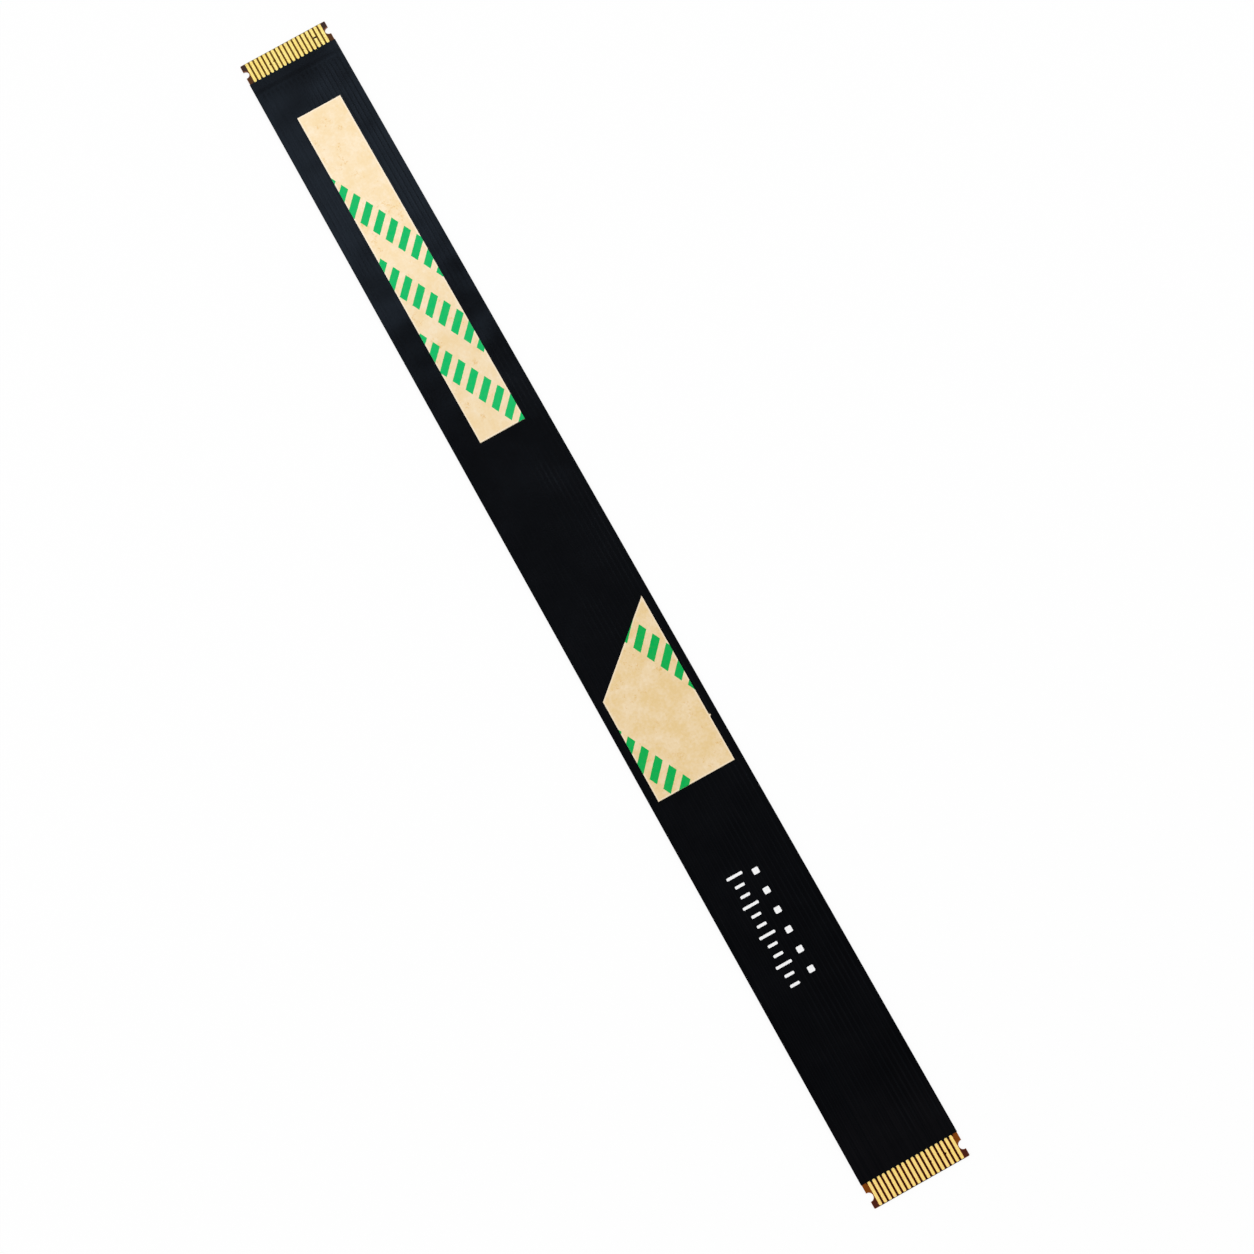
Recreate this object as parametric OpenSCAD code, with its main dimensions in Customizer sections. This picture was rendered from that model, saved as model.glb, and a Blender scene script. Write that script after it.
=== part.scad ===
// Flat flexible printed-circuit cable with a row of gold contact fingers at each end.
// The strip lies flat along X with its contact side up, and its far end points to +X.
// The origin is under the middle of the strip, on the surface that it lies on.

/* [Contacts] */
// Number of conductors, each with a contact finger at both ends
contact_count = 18; // [12:1:30]
// Distance between the middles of neighbouring contacts
contact_pitch = 0.5; // [0.42:0.02:1]
// Width of a contact finger
contact_w = 0.35; // [0.26:0.01:0.4]
// Bare film between the end of a finger and the tip of its tongue
contact_setback = 0.05; // [0.03:0.01:0.3]
// Corner radius at the end of a finger
contact_corner_r = 0.08; // [0.03:0.01:0.12]
// Width of a conductor between the two tongues
trace_w = 0.22; // [0.12:0.01:0.25]
// Distance from the tip to where a finger starts to narrow
neck_start = 3.1; // [2.8:0.1:6]
// Length over which a finger narrows to the width of its conductor
neck_l = 0.7; // [0.3:0.1:2]

/* [Strip] */
// Length of the strip over both tips
strip_l = 130; // [110:1:300]
// Distance from the middle of an outer contact to the side of the strip
side_margin = 0.75; // [0.65:0.01:2]
// Step by which each side of a tongue is narrower than the strip
tongue_step = 0.05; // [0.02:0.01:0.1]
// Length of a bare tongue, from its tip to the top cover film
tongue_l = 2.37; // [2:0.01:2.7]
// Corner radius at the tip of a tongue
tip_corner_r = 0.1; // [0.05:0.01:0.25]

/* [Locking notches] */
// Distance from the tip to the middle of a notch
notch_x = 1.13; // [0.9:0.01:1.4]
// Radius of a notch
notch_r = 0.42; // [0.3:0.01:0.55]
// Film left between a notch and the outer finger
notch_wall = 0.045; // [0.02:0.005:0.15]

/* [Films] */
// Thickness of a tongue, from the underside of its stiffener to the face of its contacts
tongue_t = 0.3; // [0.2:0.01:0.5]
// Thickness of the base film
film_t = 0.05; // [0.025:0.005:0.08]
// Thickness of the conductors
copper_t = 0.035; // [0.018:0.001:0.05]
// Thickness of the top cover film over the conductors
cover_t = 0.05; // [0.025:0.005:0.1]
// Thickness of the bottom cover film
bottom_t = 0.05; // [0.025:0.005:0.1]
// Length of a stiffener
stiffener_l = 3.7; // [3:0.1:8]

/* [Top cover film] */
// Length by which its edge reaches out between the fingers
lip_l = 0.15; // [0.05:0.01:0.3]
// Width of that edge outside the two outer fingers
lip_side = 0.06; // [0.03:0.01:0.15]
// Width by which it laps over each side of a finger
bay_lap = 0.02; // [0.01:0.01:0.06]
// Height of the raised line over each conductor
relief_h = 0.012; // [0.004:0.002:0.02]
// Width by which a raised line is wider than its conductor on each side
relief_spread = 0.05; // [0.02:0.01:0.08]

/* [Long adhesive pad] */
// Distance from the far tip to the pad
long_pad_x = 8.3; // [5:0.1:20]
// Length of the pad
long_pad_l = 40; // [10:0.5:48]
// Width of the pad
long_pad_w = 5; // [2:0.1:6]
// Sideways place of the middle of the pad
long_pad_y = -0.17; // [-0.5:0.01:0.5]
// Angle at which the pad was stuck down
long_pad_skew = 0.2; // [-0.6:0.1:0.6]

/* [Short adhesive pad] */
// Distance from the far tip to the point of the pad
short_pad_x = 69.7; // [60:0.1:78]
// Length of the longer side of the pad
short_pad_l = 18.3; // [12:0.1:24]
// Length along the strip that the slanted end takes up
short_pad_slant = 7.3; // [1:0.1:10]
// Distance from each side of the pad to the side of the strip
short_pad_margin = 0.88; // [0.3:0.01:1.5]

/* [Adhesive and liners] */
// Thickness of the adhesive over the raised lines
adhesive_t = 0.05; // [0.03:0.01:0.15]
// Thickness of a paper liner
liner_t = 0.1; // [0.05:0.01:0.2]

/* [Hidden] */
$fn = 48;
// Cutting shapes run past the faces that they cut by this much
overcut = 0.02;

contact_span = (contact_count - 1) * contact_pitch;
strip_w = contact_span + 2 * side_margin;
tongue_w = strip_w - 2 * tongue_step;
half_l = strip_l / 2;
body_l = strip_l - 2 * tongue_l;

// Heights of the layers over the surface that the strip lies on
stiffener_t = tongue_t - film_t - copper_t;
film_z = stiffener_t;
bottom_z = film_z - bottom_t;
copper_z = film_z + film_t;
cover_base_t = copper_t + cover_t - relief_h;
pad_z = copper_z + cover_base_t;
pad_t = relief_h + adhesive_t;
liner_z = pad_z + pad_t;

// The notch ends just outside the outer finger, whatever their sizes
notch_y = contact_span / 2 + contact_w / 2 + notch_wall + notch_r;
bay_r = contact_w / 2 - bay_lap;
relief_w = trace_w + 2 * relief_spread;
relief_l = strip_l - 2 * (neck_start + neck_l);

cover_black = [0.07, 0.08, 0.1];
film_amber = [0.45, 0.25, 0.08];
stiffener_brown = [0.36, 0.19, 0.09];
contact_gold = [0.93, 0.75, 0.36];
adhesive_clear = [0.88, 0.84, 0.7];
liner_cream = [0.95, 0.86, 0.7];

conductor_names = [for (i = [1 : contact_count]) str("conductor_", i < 10 ? "0" : "", i)];

// Sideways place of a contact, counted from the -Y side
function contact_y(i) = i * contact_pitch - contact_span / 2;

module at_both_ends() {
    children();
    mirror([1, 0]) children();
}

module at_both_sides() {
    children();
    mirror([0, 1]) children();
}

module at_each_contact() {
    for (i = [0 : contact_count - 1])
        translate([0, contact_y(i)]) children();
}

// What rounding takes off a square corner that points to +X and +Y
module corner_waste(corner, r) {
    translate(corner - [r, r])
        difference() {
            square(r + overcut);
            circle(r);
        }
}

// Outline of the die-cut strip, with its two tongues and their locking notches
module strip_outline() {
    difference() {
        union() {
            square([strip_l, tongue_w], center = true);
            square([body_l, strip_w], center = true);
        }
        at_both_ends() at_both_sides() {
            corner_waste([half_l, tongue_w / 2], tip_corner_r);
            translate([half_l - notch_x, notch_y]) circle(notch_r);
        }
    }
}

// Outline of one conductor: a finger at each end, which narrows to the trace between them
module conductor_outline() {
    finger_x = half_l - contact_setback;
    neck_x = half_l - neck_start;
    trace_x = neck_x - neck_l;
    side = [
        [-finger_x, contact_w / 2], [-neck_x, contact_w / 2], [-trace_x, trace_w / 2],
        [trace_x, trace_w / 2], [neck_x, contact_w / 2], [finger_x, contact_w / 2]
    ];
    difference() {
        polygon(concat(side, [for (i = [len(side) - 1 : -1 : 0]) [side[i].x, -side[i].y]]));
        at_both_ends() at_both_sides()
            corner_waste([finger_x, contact_w / 2], contact_corner_r);
    }
}

// Outline of the top cover film, with a round bay at the end of each finger
module cover_outline() {
    difference() {
        union() {
            square([body_l, strip_w], center = true);
            square([body_l + 2 * lip_l, contact_span + contact_w + 2 * lip_side], center = true);
        }
        at_both_ends() at_each_contact()
            translate([body_l / 2 + lip_l, 0]) circle(bay_r);
    }
}

// Raised lines that the conductors press up in the top cover film
module relief_outline() {
    at_each_contact() {
        square([relief_l, relief_w], center = true);
        at_both_ends() translate([relief_l / 2, 0]) circle(relief_w / 2);
    }
}

module long_pad_outline() {
    translate([half_l - long_pad_x - long_pad_l / 2, long_pad_y])
        rotate(long_pad_skew)
            square([long_pad_l, long_pad_w], center = true);
}

// A right trapezoid whose point lies on the -Y side, towards the far end
module short_pad_outline() {
    point_x = half_l - short_pad_x;
    near_x = point_x - short_pad_l;
    pad_y = strip_w / 2 - short_pad_margin;
    polygon([
        [point_x, -pad_y], [point_x - short_pad_slant, pad_y],
        [near_x, pad_y], [near_x, -pad_y]
    ]);
}

// Layer of adhesive that fills the space between the raised lines
module adhesive() {
    color(adhesive_clear)
        translate([0, 0, pad_z])
            difference() {
                linear_extrude(pad_t) children();
                translate([0, 0, -overcut])
                    linear_extrude(relief_h + overcut) relief_outline();
            }
}

module liner() {
    color(liner_cream)
        translate([0, 0, liner_z])
            linear_extrude(liner_t) children();
}

module base_film() {
    color(film_amber)
        translate([0, 0, film_z])
            linear_extrude(film_t) strip_outline();
}

module top_coverlay() {
    color(cover_black)
        translate([0, 0, copper_z])
            difference() {
                union() {
                    linear_extrude(cover_base_t) cover_outline();
                    translate([0, 0, cover_base_t])
                        linear_extrude(relief_h) relief_outline();
                }
                translate([0, 0, -overcut])
                    linear_extrude(copper_t + overcut)
                        at_each_contact() conductor_outline();
            }
}

module bottom_coverlay() {
    color(cover_black)
        translate([0, 0, bottom_z])
            linear_extrude(bottom_t)
                square([strip_l - 2 * stiffener_l, strip_w], center = true);
}

// Stiffener under one tongue: end is 1 at the far end and -1 at the near end
module stiffener(end) {
    color(stiffener_brown)
        linear_extrude(stiffener_t)
            intersection() {
                strip_outline();
                translate([end * half_l, 0])
                    square([2 * stiffener_l, strip_w + 2 * overcut], center = true);
            }
}

module conductor(i) {
    color(contact_gold)
        translate([0, contact_y(i), copper_z])
            linear_extrude(copper_t) conductor_outline();
}

base_film();
top_coverlay();
bottom_coverlay();
stiffener(-1);  // stiffener_near
stiffener(1);  // stiffener_far
for (i = [0 : contact_count - 1])
    conductor(i);
adhesive() long_pad_outline();  // adhesive_long
adhesive() short_pad_outline();  // adhesive_short
liner() long_pad_outline();  // liner_long
liner() short_pad_outline();  // liner_short
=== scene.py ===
"""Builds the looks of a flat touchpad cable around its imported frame: films, contacts, liners and print."""

import math

import bmesh
import bpy
from mathutils import Matrix, Vector, noise


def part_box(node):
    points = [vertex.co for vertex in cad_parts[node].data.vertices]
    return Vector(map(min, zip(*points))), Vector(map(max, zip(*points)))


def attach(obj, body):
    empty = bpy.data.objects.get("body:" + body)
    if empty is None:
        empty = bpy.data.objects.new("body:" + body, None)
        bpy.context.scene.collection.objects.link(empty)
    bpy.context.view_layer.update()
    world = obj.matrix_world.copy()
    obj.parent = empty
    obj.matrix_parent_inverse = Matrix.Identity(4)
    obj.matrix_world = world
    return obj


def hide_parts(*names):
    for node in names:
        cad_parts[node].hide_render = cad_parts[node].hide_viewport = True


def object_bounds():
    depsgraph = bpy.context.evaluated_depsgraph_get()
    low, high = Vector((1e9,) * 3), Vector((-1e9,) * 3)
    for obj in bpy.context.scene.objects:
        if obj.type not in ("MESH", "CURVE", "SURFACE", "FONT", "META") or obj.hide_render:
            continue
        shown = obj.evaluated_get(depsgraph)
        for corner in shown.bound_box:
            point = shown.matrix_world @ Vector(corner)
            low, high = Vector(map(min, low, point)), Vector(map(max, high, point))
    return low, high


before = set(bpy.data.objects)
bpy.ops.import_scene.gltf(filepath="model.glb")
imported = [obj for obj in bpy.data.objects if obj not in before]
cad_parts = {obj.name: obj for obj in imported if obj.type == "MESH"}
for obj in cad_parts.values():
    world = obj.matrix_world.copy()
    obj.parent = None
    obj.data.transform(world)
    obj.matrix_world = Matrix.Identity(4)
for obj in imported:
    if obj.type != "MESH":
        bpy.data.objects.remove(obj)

bl_info = {
    "name": "Touchpad Cable",
    "version": (1, 0, 0),
    "blender": (4, 5, 0),
    "location": "3D View > Sidebar > Cable",
    "description": "Builds the films, contacts, liners and print of a flat touchpad cable",
    "category": "Add Mesh",
}

MM = 0.001
MICRON = 0.000001
BODY = "root"

# What the frame gives
CAD_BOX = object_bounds()
STRIP_LOW, STRIP_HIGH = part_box("base_film")
COVER_LOW, COVER_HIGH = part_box("top_coverlay")
STIFFENER_LOW, STIFFENER_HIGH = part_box("stiffener_far")
LONG_LINER_LOW, LONG_LINER_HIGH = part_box("liner_long")
SHORT_LINER_LOW, SHORT_LINER_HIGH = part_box("liner_short")
CONDUCTORS = sorted(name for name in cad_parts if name.startswith("conductor_"))
CONTACT_LOW, CONTACT_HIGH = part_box(CONDUCTORS[0])
CONTACT_ROW = [(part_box(name)[0].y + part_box(name)[1].y) / 2 for name in CONDUCTORS]
CONTACT_PITCH = CONTACT_ROW[1] - CONTACT_ROW[0]
CONTACT_WIDTH = CONTACT_HIGH.y - CONTACT_LOW.y
CONTACT_SETBACK = STRIP_HIGH.x - CONTACT_HIGH.x

# The picture that the camera matches, in pixels, and the camera's sensor in millimetres
PHOTO_SIDE = 1254
PHOTO_FOCAL = 2275
SENSOR_WIDTH = 36.0
NEAREST_SEEN = 1 * MM

# Places and sizes of the lamps and the floor, in metres
FAR_LAMP_PLACE = (0.243, 0.0, 0.405)
FAR_LAMP_SIZE = (0.15, 0.065)
FAR_LAMP_TARGET = (0.047, 0.0, 0.0)
SIDE_LAMP_PLACE = (0.05, 0.25, 0.36)
SIDE_LAMP_SIZE = (0.45, 0.2)
SIDE_LAMP_TARGET = (0.0, 0.0, 0.0)
FLOOR_RADIUS = 3.0
FLOOR_SIDES = 64
# Level of the surroundings, by the sine of the height above the horizon
SURROUNDINGS = [
    (0.0, 0.95),
    (0.35, 0.78),
    (0.7, 0.36),
    (0.9, 0.1),
    (0.965, 0.16),
    (0.985, 0.12),
    (0.995, 0.06),
    (1.0, 0.045),
]

# Fineness of the meshes
SHARP_ANGLE = math.radians(40)
NOTCH_STEPS = 24
TIP_STEPS = 6
BAY_STEPS = 12
PAPER_STEP = 0.1 * MM
MARK_STEP = 0.06 * MM
MARK_ANGLES = (0, 25, 50, 70, 90)
CONTACT_CORNER_ANGLES = range(0, 91, 15)
CONTACT_STEP = 0.04 * MM
CONTACT_STEPS = 61
CONTACT_LAST_STEP = 20 * MM
# Rows of the cover film by their distance from its edge: by the edge, where it sinks and beyond
COVER_EDGE_STEPS = [step * MM for step in (0.04, 0.1, 0.2, 0.35, 0.55)]
COVER_BLEND = 0.8 * MM
COVER_SINK_STEPS = [0.9 * MM + 0.04 * MM * i for i in range(18)]
COVER_LONG_STEPS = [step * MM for step in (1.7, 1.85, 2, 2.2, 3, 6, 12, 25, 45)]
COVER_SIDE_STEP = 0.2 * MM
# Width of the upright step on each side of a conductor's channel
SEAM = 2 * MICRON

# Section of a contact: its crown, its bevel, and the shares of its half width at which its face is drawn
CROWN = 4 * MICRON
BEVEL = 14 * MICRON
FACE_SHARES = (-1.0, -0.75, 0.0, 0.75, 1.0)
RIM_SHARPNESS = 8

# Wear on the contacts: conductor, end (1 far, -1 near), place from the tip, side and depth
NICKS = [
    (14, 1, 1.42 * MM, -1, 0.12 * MM),
    (13, 1, 1.28 * MM, -1, 0.12 * MM),
    (6, 1, 1.70 * MM, 1, 0.08 * MM),
    (11, 1, 1.15 * MM, 1, 0.04 * MM),
    (3, -1, 1.20 * MM, 1, 0.13 * MM),
    (2, -1, 1.30 * MM, 1, 0.05 * MM),
    (6, -1, 1.25 * MM, 1, 0.08 * MM),
    (14, -1, 1.55 * MM, 1, 0.04 * MM),
]
NICK_WIDTH = 0.07 * MM
# A cut right across one far contact: conductor, place from the tip, depth, width and slant
CUT_CONDUCTOR = 3
CUT_PLACE = 1.15 * MM
CUT_DEPTH = 26 * MICRON
CUT_WIDTH = 0.085 * MM
CUT_SLANT = -0.1
CUT_STEEPNESS = 4
CUT_REACH = 5.0
# Unevenness of the contacts' sides: depth, length, and steps in the noise to the next conductor and side
UNEVEN_DEPTH = 0.008 * MM
UNEVEN_LENGTH = 0.35 * MM
NEXT_CONDUCTOR = 3.7
NEXT_SIDE = 5.1
# Distances from a contact's end between which its wear fades away under the cover film
WEAR_FADES = (2.2 * MM, 2.5 * MM)

# Print: diagonal rows of green bars on the liners, and white ticks and squares on the cover film
BAR_ANGLE = math.radians(-26)
BAR_HEIGHT = 2.2 * MM
LONG_ROWS = (-18.3 * MM, -14.15 * MM, -10.0 * MM)
SHORT_ROWS = (1.9 * MM, 11.4 * MM)
TICKS = 12
LONG_TICK_EVERY = 3
SHORT_TICK_SHARE = 0.6
SQUARES = 6
# Places of the squares in pitches of the ticks
FIRST_SQUARE = 0.5
SQUARE_PITCH = 2
MARK_CORNER = 0.09 * MM
INK_SEAT = 2 * MICRON
# Length of the waves in the ragged edge of the paper
FUZZ_LENGTH = 0.6 * MM


def srgb(red, green, blue):
    """A screen colour of three numbers from 0 to 255 as a linear colour."""
    shares = [value / 255 for value in (red, green, blue)]
    return tuple(s / 12.92 if s <= 0.04045 else ((s + 0.055) / 1.055) ** 2.4 for s in shares)


def length_property(name, description, metres):
    """A size that a user can change."""
    return bpy.props.FloatProperty(
        name=name, description=description, default=metres, unit="LENGTH", precision=5
    )


def share_property(name, description, share):
    """A share from 0 to 1 that a user can change."""
    return bpy.props.FloatProperty(
        name=name, description=description, default=share, min=0.0, max=1.0, subtype="FACTOR"
    )


def angle_property(name, description, degrees):
    """An angle that a user can change."""
    return bpy.props.FloatProperty(
        name=name, description=description, default=math.radians(degrees), subtype="ANGLE"
    )


def colour_property(name, description, colour):
    """A linear colour that a user can change."""
    return bpy.props.FloatVectorProperty(
        name=name, description=description, default=colour, size=3, min=0.0, max=1.0, subtype="COLOR"
    )


def power_property(name, description, watts):
    """The power of a lamp."""
    return bpy.props.FloatProperty(
        name=name, description=description, default=watts, min=0.0, unit="POWER"
    )


class CABLE_PG_sizes(bpy.types.PropertyGroup):
    """Sizes of the films, contacts and liners."""

    tongue_step: length_property(
        "Tongue step", "Step by which each side of a tongue is narrower than the strip", 0.05 * MM
    )
    tip_corner: length_property("Tip corner", "Corner radius at the tip of a tongue", 0.1 * MM)
    notch_place: length_property("Notch place", "From the tip to the middle of a notch", 1.13 * MM)
    notch_radius: length_property("Notch radius", "Radius of a locking notch", 0.42 * MM)
    notch_wall: length_property(
        "Notch wall", "Film left between a notch and the outer contact", 0.045 * MM
    )
    lip: length_property(
        "Cover lip", "Length by which the cover film reaches out between contacts", 0.15 * MM
    )
    lip_side: length_property("Lip side", "Width of the cover lip outside the outer contacts", 0.06 * MM)
    bay_radius: length_property("Bay radius", "Radius of the bay at each contact", 0.155 * MM)
    bay_roundness: share_property(
        "Bay roundness", "Shape of a bay, from 0 for a square one to 1 for a round one", 0.6
    )
    ridge_height: length_property(
        "Ridge height", "Height of the raised line over each conductor", 12 * MICRON
    )
    sink: length_property("Sink", "Depth by which the cover film sinks over a stiffener", 8 * MICRON)
    sink_place: length_property("Sink place", "From the tip to where the cover film sinks", 3.62 * MM)
    sink_length: length_property(
        "Sink length", "Length over which it sinks, and over which its raised lines then begin", 0.72 * MM
    )
    trace_width: length_property("Trace width", "Width of a conductor between the tongues", 0.22 * MM)
    neck_start: length_property("Neck start", "From the tip to where a contact narrows", 3.1 * MM)
    neck: length_property("Neck", "Length over which a contact narrows", 0.7 * MM)
    contact_corner: length_property("Contact corner", "Corner radius at the end of a contact", 0.08 * MM)
    edge_round: length_property("Edge round", "Softening of the cut edges", 10 * MICRON)
    # The paler rim of the amber film and the stiffeners is painted light along the cut edge.
    rim: length_property("Rim", "Width of the paler rim along a cut edge", 0.07 * MM)
    long_liner: length_property("Long liner", "Length of the long liner", 40 * MM)
    long_liner_width: length_property("Long liner width", "Width of the long liner", 5 * MM)
    long_liner_skew: angle_property("Long liner skew", "Angle at which the long liner was stuck down", 0.2)
    short_liner_slant: length_property(
        "Short liner slant", "Length along the strip of the slanted end", 7.3 * MM
    )
    # The paler rim is partly pale fibre at the cut and partly painted highlight along the edge.
    paper_rim: length_property("Paper rim", "Width of the paler rim along a liner's edge", 0.24 * MM)
    fuzz: length_property("Paper fuzz", "Raggedness of the cut edge of the paper", 12 * MICRON)
    nib: length_property("Nib", "Reach of the nib of paper on the side of the short liner", 0.17 * MM)
    nib_width: length_property("Nib width", "Width of that nib", 0.24 * MM)
    nib_place: length_property("Nib place", "Place of that nib along the strip", -18.1 * MM)
    ink: length_property("Ink", "Thickness of the printed marks", 8 * MICRON)
    mark_stroke: length_property("Mark stroke", "Width of a printed tick", 0.28 * MM)
    mark_height: length_property("Mark height", "Height of the longest printed tick", 1.65 * MM)
    mark_pitch: length_property("Mark pitch", "Distance between neighbouring ticks", 1.04 * MM)
    mark_place: length_property("Mark place", "Place of the first tick along the strip", -32.6 * MM)
    mark_row: length_property("Mark row", "Sideways place of the row of ticks", 1.3 * MM)
    square_row: length_property("Square row", "Sideways place of the row of squares", -0.7 * MM)
    square_side: length_property("Square side", "Side of a printed square", 0.62 * MM)


class CABLE_PG_colours(bpy.types.PropertyGroup):
    """Colours of the finishes."""

    cover: colour_property("Cover film", "Black of the cover films", (0.0006, 0.0005, 0.0007))
    # Also carries painted sheen: the lighter lines over the conductors and the lighter near end of the cover
    # film.
    cover_worn_and_sheen: colour_property("Worn cover", "Rubbed parts of the cover films", (0.0030, 0.0026, 0.0031))
    cover_sheen: colour_property("Cover sheen", "Tint of the cover film's reflections", (0.68, 0.82, 1.0))
    amber_far: colour_property("Far amber", "Bare film by the cover at the far end", srgb(86, 56, 35))
    amber_near: colour_property("Near amber", "Bare film by the cover at the near end", srgb(132, 69, 16))
    ear_far: colour_property("Far ear", "Bare film beyond the notch at the far end", srgb(64, 50, 47))
    ear_near: colour_property("Near ear", "Bare film beyond the notch at the near end", srgb(78, 35, 25))
    # Painted light: the cut edge of the amber film drawn paler and oranger, as if lit through.
    film_rim_glow: colour_property("Film rim", "Cut edge of the bare film", srgb(146, 78, 29))
    # Painted shade: the film between the contacts, drawn dark where shade falls between them; the near one is
    # also the dark tone of the film's mottle.
    dark_film_and_gap_shade: colour_property("Film gap", "Film between the near contacts", srgb(39, 12, 2))
    far_gap_shade: colour_property("Far film gap", "Film between the far contacts", srgb(93, 66, 8))
    stiffener: colour_property("Stiffener", "Back of the stiffeners", srgb(119, 64, 21))
    stiffener_dark: colour_property("Dark stiffener", "Darker patches of the stiffeners", srgb(89, 45, 17))
    gold: colour_property("Gold", "Plating of the far contacts", srgb(255, 241, 154))
    gold_near: colour_property("Near gold", "Redder plating of the near contacts", srgb(255, 227, 149))
    gold_deep: colour_property("Deep gold", "Thinner plating of the contacts", srgb(255, 227, 122))
    # Painted shade: the face of a contact drawn darker and redder along its edges, where it falls away from
    # the light.
    gold_edge_shade: colour_property("Gold edge", "Thin plating along the edges of contacts", srgb(183, 95, 29))
    tarnish: colour_property("Tarnish", "Sides, nicks and cuts of the contacts", srgb(52, 22, 8))
    long_paper: colour_property("Long paper", "Face of the long liner", srgb(251, 233, 204))
    long_stain: colour_property("Long stain", "Darker blotches of the long liner", srgb(245, 218, 171))
    # The short liner's paper and stain are darker, yellower copies of the long liner's: painted shade where
    # less light falls.
    short_paper: colour_property("Short paper", "Face of the short liner", srgb(245, 224, 191))
    short_stain: colour_property("Short stain", "Darker blotches of the short liner", srgb(235, 205, 149))
    # Painted shade: the paper is drawn darker and yellower away from the far end, where less light falls.
    paper_falloff_shade: colour_property("Aged paper", "Tint of the paper away from the far end", (0.92, 0.905, 0.875))
    paper_spots: colour_property("Paper spots", "Tint of the small spots in the paper", (0.92, 0.80, 0.60))
    long_print: colour_property("Long print", "Green print on the long liner", srgb(13, 185, 101))
    short_print: colour_property("Short print", "Green print on the short liner", srgb(2, 169, 78))
    white: colour_property("White", "Print on the cover film", srgb(248, 248, 248))
    adhesive: colour_property("Adhesive", "Edge of the adhesive pads", srgb(209, 197, 164))


class CABLE_PG_stage(bpy.types.PropertyGroup):
    """Camera, lamps and floor."""

    aim: bpy.props.FloatVectorProperty(
        name="Aim",
        description="Point that the camera looks at",
        default=(-6.68 * MM, -1.413 * MM, 0.35 * MM),
        subtype="TRANSLATION",
        unit="LENGTH",
    )
    distance: length_property("Distance", "Distance from the camera to its aim", 218.72 * MM)
    tilt: angle_property("Tilt", "Angle of the camera from straight down", 12.99)
    turn: angle_property("Turn", "Sideways part of the camera's tilt", 8.09)
    roll: angle_property("Roll", "Turn of the picture about the line of sight", -29.441)
    focal: bpy.props.FloatProperty(
        name="Focal length",
        description="Focal length of the camera",
        default=SENSOR_WIDTH * PHOTO_FOCAL / PHOTO_SIDE,
        unit="CAMERA",
    )
    far_power: power_property("Far lamp", "Power of the soft lamp beyond the far end", 0.05)
    far_colour: colour_property("Far lamp colour", "Cool light of the far lamp", (0.76, 0.88, 1.0))
    side_power: power_property("Side lamps", "Power of the soft lamp on each side", 0.88)
    floor_white: share_property("Floor white", "Share of plain white in the floor's colour", 0.92)
    floor_gap: length_property("Floor gap", "Gap between the floor and the stiffeners on it", 5 * MICRON)


def arc(centre, radius, start, end, steps):
    """Points along an arc between two angles in degrees."""
    angles = [math.radians(start + (end - start) * i / steps) for i in range(steps + 1)]
    return [(centre[0] + radius * math.cos(a), centre[1] + radius * math.sin(a)) for a in angles]


def rounding(radius, angles):
    """Distances from an edge, in finer steps close to it, that draw a round corner."""
    return [radius * (1 - math.cos(math.radians(a))) for a in angles]


def smooth(value, low, high):
    """Goes smoothly from 0 at low to 1 at high."""
    t = min(1.0, max(0.0, (value - low) / (high - low)))
    return t * t * (3 - 2 * t)


def unevenness(place):
    """Smooth noise from 0 to 1 at a place."""
    return 0.5 + 0.5 * noise.noise(place)


def inset(outline, distance):
    """An anticlockwise outline moved inwards by a distance, with mitred corners."""
    moved = []
    for i, here in enumerate(outline):
        before = Vector(here) - Vector(outline[i - 1])
        after = Vector(outline[(i + 1) % len(outline)]) - Vector(here)
        normal_a = Vector((-before.y, before.x)).normalized()
        normal_b = Vector((-after.y, after.x)).normalized()
        mitre = (normal_a + normal_b) / (1 + normal_a.dot(normal_b))
        moved.append(tuple(Vector(here) + mitre * distance))
    return moved


def strip_corner(sizes):
    """Outline of the far corner on the +Y side, from the side of the strip to the tip."""
    tip_x = STRIP_HIGH.x
    side_y = STRIP_HIGH.y - sizes.tongue_step
    step_x = COVER_HIGH.x - sizes.lip
    notch_x = tip_x - sizes.notch_place
    notch_y = CONTACT_ROW[-1] + CONTACT_WIDTH / 2 + sizes.notch_wall + sizes.notch_radius
    mouth = math.degrees(math.asin((side_y - notch_y) / sizes.notch_radius))
    corner = sizes.tip_corner
    return [
        (step_x, STRIP_HIGH.y),
        (step_x, side_y),
        *arc((notch_x, notch_y), sizes.notch_radius, 180 - mouth, 360 + mouth, NOTCH_STEPS),
        *arc((tip_x - corner, side_y - corner), corner, 90, 0, TIP_STEPS),
    ]


def tongue_outline(sizes, end, cut_x):
    """Anticlockwise outline of one end of the strip, cut straight across at a place along it."""
    side = [(cut_x, STRIP_HIGH.y), *strip_corner(sizes)]
    outline = [(x, -y) for x, y in side] + side[::-1]
    if end < 0:
        outline = [(-x, y) for x, y in outline[::-1]]
    return outline


def strip_outline(sizes):
    """Anticlockwise outline of the whole strip."""
    corner = strip_corner(sizes)
    far = [(x, -y) for x, y in corner] + corner[::-1]
    return far + [(-x, -y) for x, y in far]


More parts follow.
